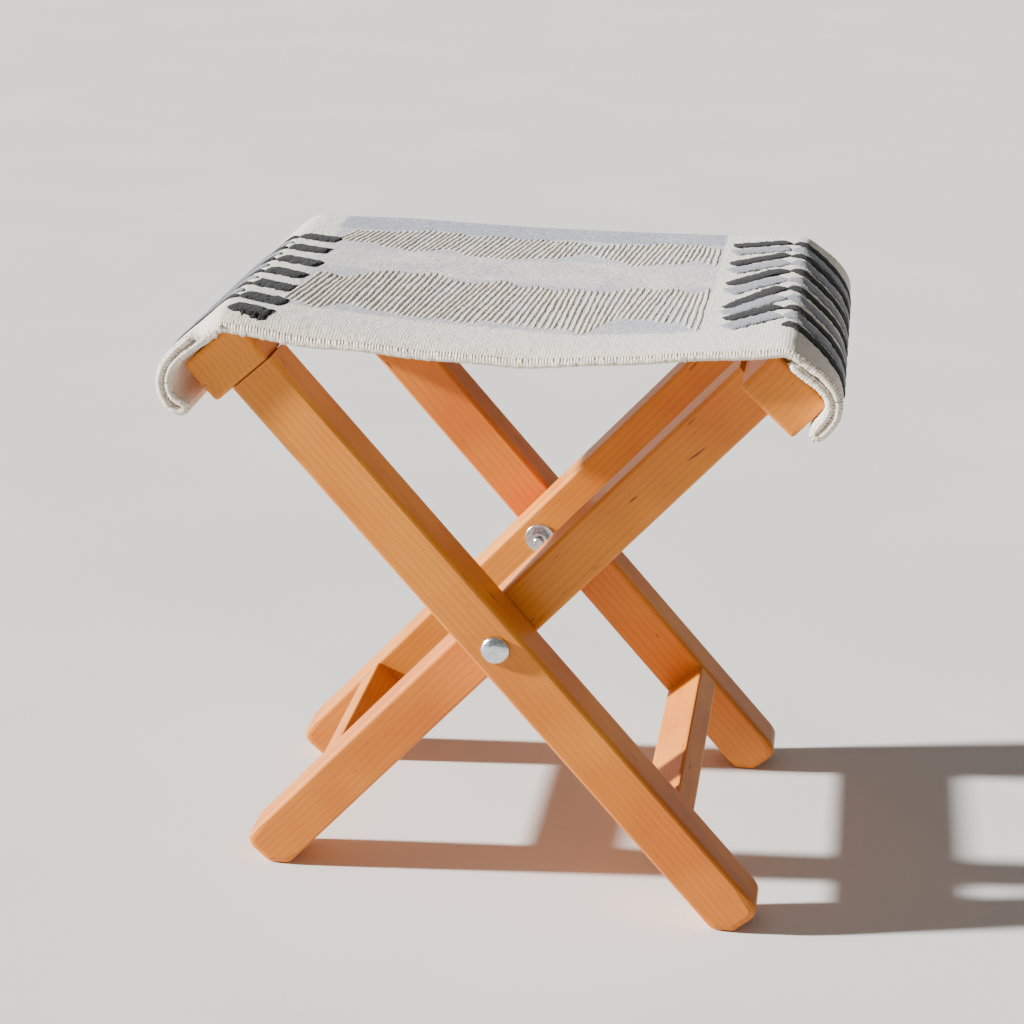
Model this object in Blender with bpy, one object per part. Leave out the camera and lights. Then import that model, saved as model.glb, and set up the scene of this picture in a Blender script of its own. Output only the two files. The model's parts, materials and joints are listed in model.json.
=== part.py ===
"""Folding camp stool: two pivoting timber frames with a woven seat between their rails.

Metres, +Z up.  The origin is on the ground under the middle of the seat.  X runs across
the scissor, Y along the pivot bolts, and -Y is the front.
"""

import math

import bmesh
import bpy
from mathutils import Matrix, Vector

# Driving dimensions
half_angle = math.radians(42.0)       # each leg from the vertical, stool open
leg_width = 0.038                     # seen from the front
leg_depth = 0.040                     # along the pivot
frame_depth = 0.310                   # outer frame, over both legs
lower_reach = 0.273                   # pivot to the square foot end
upper_reach = 0.257                   # pivot to the underside of the seat rail
foot_flat = 0.016                     # level cut on each foot
foot_round = 0.010                    # upper corner of the foot
foot_blend = 0.005                    # where the level cut meets the faces
foot_edge_round = 0.0055              # front and back edges of the foot end
leg_edge_round = 0.0028               # long edges of the legs
rail_width = 0.050
rail_height = 0.034
rail_overhang = 0.015                 # past the leg, on the outer side
rail_edge_round = 0.0030
stretcher_width = 0.036
stretcher_thickness = 0.020
stretcher_rise = 0.079                # foot end to the lower face of the stretcher
stretcher_edge_round = 0.0020

bolt_diameter = 0.008
bolt_head_diameter = 0.0205
bolt_head_height = 0.0052
bolt_head_rim = 0.0009                # straight rim under the dome
bolt_thread_past_nut = 0.0035
spacer_diameter = 0.024               # washer between the two legs
spacer_thickness = 0.0010
washer_diameter = 0.0235              # washer under the nut
washer_thickness = 0.0016
nut_across_flats = 0.013
nut_height = 0.0065

dowel_diameter = 0.008
dowel_length = 0.050
dowel_pitch_rail = 0.018              # between the two dowels of a rail joint, along the pivot
dowel_pitch_stretcher = 0.018         # between the two dowels of a stretcher joint, across the board
dowel_end_round = 0.0010

cloth_thickness = 0.006
cloth_setback = 0.002                 # rail end to cloth edge
seat_sag = 0.015
hem_reach = 0.019                     # how far the outer layer stands off the rail corner
hem_return = 0.012                    # folded end, up the outer face of the rail
tack_count = 7
tack_end_margin = 0.020
tack_above_fold = 0.0055
tack_head_diameter = 0.007
tack_head_height = 0.0012
tack_shank_diameter = 0.0018
tack_length = 0.015

fit_gap = 0.0003                      # between pieces that touch
dowel_end_gap = 0.0010                # glue room at a dowel's ends
bore_clearance = 0.0003               # on the radius of each bolt hole

# Shares of a size, and how finely round shapes are drawn
washer_edge_share = 0.2               # rounded part of a washer's thickness
bolt_tip_share = 0.2                  # chamfer at the bolt's tip, of its radius
nut_chamfer_share = 0.6               # chamfer's height, of the corner's reach past the flats
tack_rim_share = 0.75                 # where a tack head starts to fall, of its radius
tack_shoulder_share = 0.7             # height of that rim, of the head's height
over_edge_share = 0.8                 # how much of the seat's slope reaches the rail's corner
cutter_overshoot = 0.010              # how far a cutter passes the face that it opens
short_overshoot = 0.002               # the same where another layer is close
chamfer_overshoot = 0.0002            # the nut's chamfer passes its corners
bolt_sides = 32
nut_chamfer_sides = 36
dowel_sides = 16
tack_sides = 12
dome_steps = 6
sag_steps = 10
bend_steps = 4
hem_steps = 8

# Derived positions
leg_gap = spacer_thickness + 2 * fit_gap
outer_face_y = frame_depth / 2
outer_inside_y = outer_face_y - leg_depth
inner_face_y = outer_inside_y - leg_gap
inner_inside_y = inner_face_y - leg_depth
corner_cut_across = foot_flat * math.cos(half_angle)
corner_cut_along = foot_flat * math.sin(half_angle)
foot_low_along = lower_reach - corner_cut_along
pivot_height = foot_low_along * math.cos(half_angle) + leg_width / 2 * math.sin(half_angle)
rail_outer = leg_width / 2 + rail_overhang
rail_inner = rail_width - rail_outer
rail_bottom = upper_reach + fit_gap
rail_top = rail_bottom + rail_height
cloth_along = rail_top + fit_gap + cloth_thickness / 2
hem_along = cloth_along - hem_reach
tack_along = hem_along + tack_above_fold
stretcher_bottom = stretcher_rise - lower_reach
stretcher_middle = stretcher_bottom + stretcher_thickness / 2

frames = {  # the lean about Y, the side of a leg that faces the seat, and the legs' two faces
    "outer": {"lean": -half_angle, "seat_side": 1.0,
              "outside_y": outer_face_y, "inside_y": outer_inside_y},
    "inner": {"lean": half_angle, "seat_side": -1.0,
              "outside_y": inner_face_y, "inside_y": inner_inside_y},
}


def clear_scene():
    for item in list(bpy.data.objects):
        bpy.data.objects.remove(item, do_unlink=True)


def make_material(name, colour, roughness, metallic=0.0):
    material = bpy.data.materials.new(name)
    material.use_nodes = True
    shader = material.node_tree.nodes["Principled BSDF"]
    shader.inputs["Base Color"].default_value = (*colour, 1.0)
    shader.inputs["Roughness"].default_value = roughness
    shader.inputs["Metallic"].default_value = metallic
    return material


def finish_object(name, bm, material, parent=None, sharp_angle=30.0):
    """Turns a bmesh into a named object with its own material."""
    bmesh.ops.recalc_face_normals(bm, faces=bm.faces)
    mesh = bpy.data.meshes.new(name)
    bm.to_mesh(mesh)
    bm.free()
    mesh.shade_smooth()
    mesh.set_sharp_from_angle(angle=math.radians(sharp_angle))
    obj = bpy.data.objects.new(name, mesh)
    bpy.context.scene.collection.objects.link(obj)
    if material:
        mesh.materials.append(material)
    obj.parent = parent
    return obj


def add_box(bm, low, high):
    """A box between two corners; returns its vertices."""
    low, high = Vector(low), Vector(high)
    place = Matrix.Translation((low + high) / 2) @ Matrix.Diagonal((*(high - low), 1.0))
    return bmesh.ops.create_cube(bm, size=1.0, matrix=place)["verts"]


def add_rod(bm, radius, start, end, sides, end_round=0.0):
    """A closed cylinder from start to end, with its end edges rounded if asked."""
    start, end = Vector(start), Vector(end)
    axis = end - start
    place = Matrix.Translation((start + end) / 2) @ axis.to_track_quat("Z", "Y").to_matrix().to_4x4()
    made = bmesh.ops.create_cone(
        bm, cap_ends=True, segments=sides, radius1=radius, radius2=radius,
        depth=axis.length, matrix=place)["verts"]
    if end_round:
        caps = {face for vert in made for face in vert.link_faces if len(face.verts) > 4}
        rims = list({edge for face in caps for edge in face.edges})
        bmesh.ops.bevel(bm, geom=rims, offset=end_round, segments=2, profile=0.5,
                        affect="EDGES", material=-1)


def add_turned(bm, profile, sides, place):
    """Turns (radius, height) points about the local Z axis and closes them at the axis."""
    rings = []
    for radius, height in profile:
        if radius == 0.0:
            rings.append([bm.verts.new(place @ Vector((0.0, 0.0, height)))])
            continue
        rings.append([
            bm.verts.new(place @ Vector((radius * math.cos(turn), radius * math.sin(turn), height)))
            for turn in (2 * math.pi * k / sides for k in range(sides))])
    for lower, upper in zip(rings, rings[1:]):
        for k in range(sides):
            after = (k + 1) % sides
            corners = [lower[k % len(lower)], lower[after % len(lower)],
                       upper[after % len(upper)], upper[k % len(upper)]]
            bm.faces.new(list(dict.fromkeys(corners)))


def add_ring(bm, inner_radius, outer_radius, centre_y, thickness, sides):
    """A flat washer whose hole runs along Y."""
    place = Matrix.Translation((0.0, centre_y, 0.0)) @ Matrix.Rotation(math.pi / 2, 4, "X")
    half = thickness / 2
    edge = thickness * washer_edge_share
    profile = [
        (inner_radius, -half), (outer_radius - edge, -half), (outer_radius, -half + edge),
        (outer_radius, half - edge), (outer_radius - edge, half), (inner_radius, half),
        (inner_radius, -half)]
    add_turned(bm, profile, sides, place)
    bmesh.ops.remove_doubles(bm, verts=bm.verts, dist=1e-6)


def cut(obj, cutter_bm, name):
    """Subtracts the shapes in cutter_bm from obj."""
    cutter = finish_object(name, cutter_bm, None, obj.parent)
    cutter.hide_render = True
    cutter.display_type = "WIRE"
    modifier = obj.modifiers.new("Holes", "BOOLEAN")
    modifier.operation = "DIFFERENCE"
    modifier.solver = "EXACT"
    modifier.object = cutter


def round_edges(obj, width, segments=3):
    """Rounds edges by their bevel weight; width is the radius at weight 1."""
    modifier = obj.modifiers.new("Rounded edges", "BEVEL")
    modifier.limit_method = "WEIGHT"
    modifier.width = width
    modifier.segments = segments
    modifier.profile = 0.5
    modifier.harden_normals = False


def arc_points(centre, radius, start, end, steps):
    return [
        Vector((centre[0] + radius * math.cos(start + (end - start) * k / steps),
                centre[1] + radius * math.sin(start + (end - start) * k / steps)))
        for k in range(steps + 1)]


def round_corner(before, corner, after, radius, steps):
    """Arc points that round one corner of an outline."""
    before, corner, after = Vector(before), Vector(corner), Vector(after)
    towards_before = (before - corner).normalized()
    towards_after = (after - corner).normalized()
    half_turn = towards_before.angle(towards_after) / 2
    setback = radius / math.tan(half_turn)
    middle = corner + (towards_before + towards_after).normalized() * radius / math.sin(half_turn)
    first = corner + towards_before * setback - middle
    last = corner + towards_after * setback - middle
    sweep = first.angle_signed(last)
    return [middle + Matrix.Rotation(-sweep * k / steps, 2) @ first for k in range(steps + 1)]


def dowel_rows(pitch):
    return [-pitch / 2, pitch / 2]


def make_leg(frame, end, material, parent):
    """One leg standing along local Z, with its foot down and its bores cut."""
    seat_side = frames[frame]["seat_side"]
    outside_y, inside_y = frames[frame]["outside_y"], frames[frame]["inside_y"]
    towards = -1.0 if end == "front" else 1.0
    half = leg_width / 2
    cut_start = (-half, -foot_low_along)
    cut_end = (-half + corner_cut_across, -lower_reach)
    toe = (half, -lower_reach)
    outline = [
        *round_corner((-half, upper_reach), cut_start, cut_end, foot_blend, 2),
        *round_corner(cut_start, cut_end, toe, foot_blend, 2),
        *round_corner(cut_end, toe, (half, upper_reach), foot_round, 5),
        Vector((half, upper_reach)),
        Vector((-half, upper_reach)),
    ]
    bm = bmesh.new()
    near = [bm.verts.new((seat_side * x, towards * inside_y, z)) for x, z in outline]
    far = [bm.verts.new((seat_side * x, towards * outside_y, z)) for x, z in outline]
    bm.faces.new(near)
    bm.faces.new(far)
    weights = bm.edges.layers.float.new("bevel_weight_edge")
    count = len(outline)
    for k in range(count):
        after = (k + 1) % count
        bm.faces.new([near[k], near[after], far[after], far[k]])
    for ring in (near, far):
        for k in range(count):
            if k == count - 2:
                continue  # the top edge stays square against the rail
            edge = bm.edges.get((ring[k], ring[(k + 1) % count]))
            long_edge = k in (count - 3, count - 1)
            edge[weights] = leg_edge_round / foot_edge_round if long_edge else 1.0
    leg = finish_object(f"{frame}_leg_{end}", bm, material, parent)
    round_edges(leg, foot_edge_round)

    holes = bmesh.new()
    bolt_bore = bolt_diameter / 2 + bore_clearance
    add_rod(holes, bolt_bore, (0, towards * (inside_y - cutter_overshoot), 0),
            (0, towards * (outside_y + cutter_overshoot), 0), bolt_sides)
    dowel_bore = dowel_diameter / 2 + fit_gap
    depth = dowel_length / 2 + dowel_end_gap
    middle_y = towards * (inside_y + outside_y) / 2
    for offset in dowel_rows(dowel_pitch_rail):
        add_rod(holes, dowel_bore, (0, middle_y + offset, upper_reach - depth),
                (0, middle_y + offset, upper_reach + cutter_overshoot), dowel_sides)
    for offset in dowel_rows(dowel_pitch_stretcher):
        add_rod(holes, dowel_bore, (offset, towards * (inside_y + depth), stretcher_middle),
                (offset, towards * (inside_y - cutter_overshoot), stretcher_middle), dowel_sides)
    cut(leg, holes, f"{frame}_leg_{end}_holes")


def make_rail(frame, material, parent):
    """The seat rail across the leg tops, running the full depth of the stool."""
    seat_side = frames[frame]["seat_side"]
    outside_y, inside_y = frames[frame]["outside_y"], frames[frame]["inside_y"]
    inner_x, outer_x = seat_side * rail_inner, -seat_side * rail_outer
    bm = bmesh.new()
    add_box(bm, (min(inner_x, outer_x), -outer_face_y, rail_bottom),
            (max(inner_x, outer_x), outer_face_y, rail_top))
    weights = bm.edges.layers.float.new("bevel_weight_edge")
    for edge in bm.edges:
        edge[weights] = 1.0
    rail = finish_object(f"{frame}_seat_rail", bm, material, parent)
    round_edges(rail, rail_edge_round)

    holes = bmesh.new()
    dowel_bore = dowel_diameter / 2 + fit_gap
    depth = dowel_length / 2 + dowel_end_gap
    for towards in (-1.0, 1.0):
        middle_y = towards * (inside_y + outside_y) / 2
        for offset in dowel_rows(dowel_pitch_rail):
            add_rod(holes, dowel_bore, (0, middle_y + offset, rail_bottom - cutter_overshoot),
                    (0, middle_y + offset, rail_bottom + depth), dowel_sides)
    tack_bore = tack_shank_diameter / 2 + fit_gap
    for y in tack_rows():
        add_rod(holes, tack_bore, (outer_x - seat_side * cutter_overshoot, y, tack_along),
                (outer_x + seat_side * (tack_length + dowel_end_gap), y, tack_along), tack_sides)
    cut(rail, holes, f"{frame}_seat_rail_holes")


def make_stretcher(frame, material, parent):
    """The flat board that ties the two legs of a frame near their feet."""
    end_y = frames[frame]["inside_y"] - fit_gap
    bm = bmesh.new()
    add_box(bm, (-stretcher_width / 2, -end_y, stretcher_bottom),
            (stretcher_width / 2, end_y, stretcher_bottom + stretcher_thickness))
    weights = bm.edges.layers.float.new("bevel_weight_edge")
    for edge in bm.edges:
        along = abs(edge.verts[0].co.y - edge.verts[1].co.y) > end_y
        edge[weights] = 1.0 if along else 0.0
    board = finish_object(f"{frame}_stretcher", bm, material, parent)
    round_edges(board, stretcher_edge_round, 2)

    holes = bmesh.new()
    dowel_bore = dowel_diameter / 2 + fit_gap
    depth = dowel_length / 2 + dowel_end_gap
    for towards in (-1.0, 1.0):
        for offset in dowel_rows(dowel_pitch_stretcher):
            add_rod(holes, dowel_bore,
                    (offset, towards * (end_y + cutter_overshoot), stretcher_middle),
                    (offset, towards * (end_y - depth), stretcher_middle), dowel_sides)
    cut(board, holes, f"{frame}_stretcher_holes")


def make_dowels(frame, material, parent):
    """Two dowels in each leg-to-rail and each leg-to-stretcher joint."""
    outside_y, inside_y = frames[frame]["outside_y"], frames[frame]["inside_y"]
    radius, reach = dowel_diameter / 2, dowel_length / 2
    for end, towards in (("front", -1.0), ("back", 1.0)):
        middle_y = towards * (inside_y + outside_y) / 2
        joint_y = towards * (inside_y - fit_gap / 2)
        joint_z = upper_reach + fit_gap / 2
        for number, offset in enumerate(dowel_rows(dowel_pitch_rail), 1):
            bm = bmesh.new()
            add_rod(bm, radius, (0, middle_y + offset, joint_z - reach),
                    (0, middle_y + offset, joint_z + reach), dowel_sides, dowel_end_round)
            finish_object(f"{frame}_rail_dowel_{end}_{number}", bm, material, parent)
        for number, offset in enumerate(dowel_rows(dowel_pitch_stretcher), 1):
            bm = bmesh.new()
            add_rod(bm, radius, (offset, joint_y - reach, stretcher_middle),
                    (offset, joint_y + reach, stretcher_middle), dowel_sides, dowel_end_round)
            finish_object(f"{frame}_stretcher_dowel_{end}_{number}", bm, material, parent)


def make_pivot(end, material, parent):
    """Bolt, spacer, washer and nut at one end of the pivot; the head is outside."""
    towards = -1.0 if end == "front" else 1.0
    place = Matrix.Rotation(-towards * math.pi / 2, 4, "X")   # local Z runs outwards
    head_seat = outer_face_y + fit_gap
    washer_far = inner_inside_y - fit_gap - washer_thickness
    nut_far = washer_far - fit_gap - nut_height
    tip = nut_far - bolt_thread_past_nut
    shank, rim = bolt_diameter / 2, bolt_head_diameter / 2
    dome_height = bolt_head_height - bolt_head_rim
    chamfer = shank * bolt_tip_share
    profile = [(0.0, tip), (shank - chamfer, tip), (shank, tip + chamfer), (shank, head_seat),
               (rim, head_seat), (rim, head_seat + bolt_head_rim)]
    for k in range(1, dome_steps + 1):
        turn = math.pi / 2 * k / dome_steps
        profile.append((rim * math.cos(turn) if k < dome_steps else 0.0,
                        head_seat + bolt_head_rim + dome_height * math.sin(turn)))
    bm = bmesh.new()
    add_turned(bm, profile, bolt_sides, place)
    finish_object(f"pivot_bolt_{end}", bm, material, parent)

    bm = bmesh.new()
    bore = shank + bore_clearance
    spacer_y = (outer_inside_y + inner_face_y) / 2
    add_ring(bm, bore, spacer_diameter / 2, towards * spacer_y, spacer_thickness,
             bolt_sides)
    finish_object(f"pivot_spacer_{end}", bm, material, parent)

    bm = bmesh.new()
    add_ring(bm, bore, washer_diameter / 2, towards * (washer_far + washer_thickness / 2),
             washer_thickness, bolt_sides)
    finish_object(f"pivot_washer_{end}", bm, material, parent)

    make_nut(f"pivot_nut_{end}", towards * (nut_far + nut_height / 2), bore, material, parent)


def make_nut(name, centre_y, bore, material, parent):
    """A hexagon nut with chamfered corners, its bore along Y."""
    corner = nut_across_flats / math.sqrt(3)
    place = Matrix.Translation((0, centre_y, 0)) @ Matrix.Rotation(math.pi / 2, 4, "X")
    bm = bmesh.new()
    bmesh.ops.create_cone(bm, cap_ends=True, segments=6, radius1=corner, radius2=corner,
                          depth=nut_height, matrix=place)
    nut = finish_object(name, bm, material, parent)

    flats = nut_across_flats / 2
    chamfer = (corner - flats) * nut_chamfer_share
    half, past = nut_height / 2, nut_height / 2 + short_overshoot
    reach = corner + chamfer_overshoot
    shape = bmesh.new()
    add_turned(shape, [(0.0, -past), (flats, -past), (flats, -half), (reach, chamfer - half),
                       (reach, half - chamfer), (flats, half), (flats, past), (0.0, past)],
               nut_chamfer_sides, place)
    turned = finish_object(f"{name}_chamfer", shape, None, parent)
    turned.hide_render = True
    turned.display_type = "WIRE"
    keep = nut.modifiers.new("Chamfer", "BOOLEAN")
    keep.operation = "INTERSECT"
    keep.solver = "EXACT"
    keep.object = turned

    hole = bmesh.new()
    add_rod(hole, bore, (0, centre_y - nut_height, 0), (0, centre_y + nut_height, 0),
            bolt_sides)
    cut(nut, hole, f"{name}_bore")


def tack_rows():
    """Tack positions along the rail."""
    first = -outer_face_y + cloth_setback + tack_end_margin
    step = -2 * first / (tack_count - 1)
    return [first + step * k for k in range(tack_count)]


def to_world(across, along):
    """From the inner frame's across and along values to X and height above the ground."""
    x = along * math.sin(half_angle) - across * math.cos(half_angle)
    z = along * math.cos(half_angle) + across * math.sin(half_angle) + pivot_height
    return Vector((x, z))


def cloth_middle_line():
    """Middle of the cloth from the seat centre to its folded end, on the +X side."""
    half = cloth_thickness / 2
    bend = rail_edge_round + fit_gap + half
    bend_centre = to_world(rail_inner - rail_edge_round, rail_top - rail_edge_round)
    crown = bend_centre + Vector((0.0, bend))
    seat = [Vector((crown.x * share, crown.y - seat_sag * (1 - share ** 2)))
            for share in (k / sag_steps for k in range(sag_steps))]
    slope = math.atan(2 * seat_sag / crown.x)
    over_edge = arc_points(bend_centre, bend, math.pi / 2 + slope * over_edge_share,
                           math.pi / 2 - half_angle, bend_steps)
    stand_off = rail_outer - rail_edge_round
    fold_radius = (hem_reach + stand_off - rail_outer - fit_gap - half) / 2
    outer = arc_points((-stand_off, hem_along), hem_reach, math.pi / 2, math.pi, hem_steps)
    fold_middle = (-stand_off - hem_reach + fold_radius, hem_along)
    fold = arc_points(fold_middle, fold_radius, math.pi, 2 * math.pi, hem_steps)[1:]
    end = Vector((fold[-1].x, hem_along + hem_return))
    wrapped = [to_world(*point) for point in (*outer, *fold, end)]
    return [*seat, *over_edge, *wrapped]


def offset_line(points, distance):
    """The same line moved sideways, for one face of the cloth."""
    moved = []
    for k, point in enumerate(points):
        before, after = points[max(k - 1, 0)], points[min(k + 1, len(points) - 1)]
        direction = (after - before).normalized()
        moved.append(point + Vector((-direction.y, direction.x)) * distance)
    return moved


def make_cloth(material, parent):
    """The seat cloth as one closed solid of even thickness, folded back under both rails."""
    right = cloth_middle_line()
    middle = [Vector((-p.x, p.y)) for p in reversed(right[1:])] + right
    upper = offset_line(middle, cloth_thickness / 2)
    lower = offset_line(middle, -cloth_thickness / 2)
    edge_y = outer_face_y - cloth_setback
    bm = bmesh.new()
    front = [[bm.verts.new((p.x, -edge_y, p.y)) for p in line] for line in (upper, lower)]
    back = [[bm.verts.new((p.x, edge_y, p.y)) for p in line] for line in (upper, lower)]
    last = len(middle) - 1
    for k in range(last):
        bm.faces.new([front[0][k], front[0][k + 1], back[0][k + 1], back[0][k]])
        bm.faces.new([front[1][k + 1], front[1][k], back[1][k], back[1][k + 1]])
        bm.faces.new([front[0][k + 1], front[0][k], front[1][k], front[1][k + 1]])
        bm.faces.new([back[0][k], back[0][k + 1], back[1][k + 1], back[1][k]])
    for k in (0, last):
        bm.faces.new([front[0][k], back[0][k], back[1][k], front[1][k]])
    cloth = finish_object("seat_cloth", bm, material, parent)

    holes = bmesh.new()
    bore = tack_shank_diameter / 2 + fit_gap
    for side in (-1.0, 1.0):
        for y in tack_rows():
            start = to_world(short_overshoot - rail_outer, tack_along)
            end = to_world(-rail_outer - cloth_thickness - short_overshoot, tack_along)
            add_rod(holes, bore, (side * start.x, y, start.y), (side * end.x, y, end.y),
                    tack_sides)
    cut(cloth, holes, "seat_cloth_tack_holes")


def make_tacks(frame, material, parent):
    """Tacks through the folded end of the cloth into the outer face of the rail."""
    seat_side = frames[frame]["seat_side"]
    head_seat = rail_outer + 2 * fit_gap + cloth_thickness
    shank, head = tack_shank_diameter / 2, tack_head_diameter / 2
    tip = rail_outer - tack_length
    turn = Matrix.Rotation(-seat_side * math.pi / 2, 4, "Y")
    for number, y in enumerate(tack_rows(), 1):
        profile = [(0.0, tip), (shank, tip + 3 * shank), (shank, head_seat), (head, head_seat),
                   (head * tack_rim_share, head_seat + tack_head_height * tack_shoulder_share),
                   (0.0, head_seat + tack_head_height)]
        bm = bmesh.new()
        add_turned(bm, profile, tack_sides, Matrix.Translation((0, y, tack_along)) @ turn)
        finish_object(f"{frame}_tack_{number}", bm, material, parent)


def make_frame(frame, wood, beech, steel):
    """One leaning frame, built upright and turned about the pivot axis."""
    pivot = bpy.data.objects.new(f"{frame}_frame_pivot", None)
    pivot.location = (0.0, 0.0, pivot_height)
    pivot.rotation_euler = (0.0, frames[frame]["lean"], 0.0)
    bpy.context.scene.collection.objects.link(pivot)
    for end in ("front", "back"):
        make_leg(frame, end, wood, pivot)
    make_rail(frame, wood, pivot)
    make_stretcher(frame, wood, pivot)
    make_dowels(frame, beech, pivot)
    make_tacks(frame, steel, pivot)
    return pivot


def main():
    clear_scene()
    wood = make_material("varnished_pine", (0.66, 0.33, 0.12), 0.42)
    beech = make_material("beech_dowel", (0.62, 0.42, 0.24), 0.65)
    zinc = make_material("zinc_plated_steel", (0.72, 0.71, 0.68), 0.28, 1.0)
    tack_steel = make_material("blued_tack_steel", (0.10, 0.11, 0.13), 0.45, 1.0)
    wool = make_material("woven_wool", (0.72, 0.67, 0.60), 0.95)
    outer_pivot = make_frame("outer", wood, beech, tack_steel)
    make_frame("inner", wood, beech, tack_steel)
    for end in ("front", "back"):
        make_pivot(end, zinc, outer_pivot)
    make_cloth(wool, None)


main()
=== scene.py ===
import json
import math
import random
import bmesh
import bpy
from mathutils import Euler, Matrix, Vector, noise


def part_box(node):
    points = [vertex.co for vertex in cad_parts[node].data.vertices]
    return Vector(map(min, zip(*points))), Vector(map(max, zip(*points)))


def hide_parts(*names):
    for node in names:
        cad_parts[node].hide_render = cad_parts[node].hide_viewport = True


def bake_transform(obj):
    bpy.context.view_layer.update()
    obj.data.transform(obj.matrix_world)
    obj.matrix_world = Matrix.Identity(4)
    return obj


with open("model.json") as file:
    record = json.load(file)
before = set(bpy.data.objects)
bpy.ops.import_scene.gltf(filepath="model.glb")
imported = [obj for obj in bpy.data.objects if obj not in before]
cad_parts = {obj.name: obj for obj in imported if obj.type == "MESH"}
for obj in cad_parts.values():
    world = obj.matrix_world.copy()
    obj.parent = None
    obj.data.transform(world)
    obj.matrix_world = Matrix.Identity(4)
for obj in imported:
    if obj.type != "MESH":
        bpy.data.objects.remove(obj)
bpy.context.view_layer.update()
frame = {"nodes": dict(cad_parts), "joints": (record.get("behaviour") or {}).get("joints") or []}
nodes = frame["nodes"]
random.seed(7)
print("frame loaded,", len(nodes), "nodes")


# colours and nodes

def hexColour(code):  # sRGB hex to the linear values that sockets take
    parts = [int(code[k:k + 2], 16) / 255 for k in (1, 3, 5)]
    linear = [p / 12.92 if p <= 0.04045 else ((p + 0.055) / 1.055) ** 2.4 for p in parts]
    return (*linear, 1.0)


def addNode(tree, kind, inputs=None, stops=None, **settings):
    node = tree.nodes.new(kind)
    for name, value in settings.items():
        setattr(node, name, value)
    if stops:  # a new ramp already has a first and a last stop
        colours = node.color_ramp.elements
        for index, (place, code) in enumerate(stops):
            stop = colours[-1] if index == len(stops) - 1 else \
                colours.new(place) if index else colours[0]
            stop.position = place
            stop.color = hexColour(code)
    for socket, value in (inputs or {}).items():
        if isinstance(value, bpy.types.NodeSocket):
            tree.links.new(value, node.inputs[socket])
        else:
            node.inputs[socket].default_value = value
    return node


def startMaterial(name, **sockets):
    material = bpy.data.materials.new(name)
    material.use_nodes = True
    tree = material.node_tree
    shader = tree.nodes["Principled BSDF"]
    for socket, value in sockets.items():
        shader.inputs[socket.replace("_", " ")].default_value = value
    return material, tree, shader


# varnished pine: sawn and planed boards under clear gloss varnish, so orange, with straight
# darker growth lines, fine fibres and a soft shine

pine = {
    "earlyWood": "#E08A26", "earlyDeep": "#C96C17", "lateWood": "#93420B", "fleck": "#4A210C",
    "ringPitch": 0.0046, "heart": 0.075, "wander": 2.6, "fibrePitch": 0.0007, "fibreStretch": 22.0,
    "edgeWearAndHighlight": 0.0022, "reliefDepth": 0.00006,
    "roughness": 0.50, "coat": 0.10, "coatRoughness": 0.20, "specular": 0.30,
    "ringContrast": 0.55, "wornAndHighlitEdge": "#EBA250",
}


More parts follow.
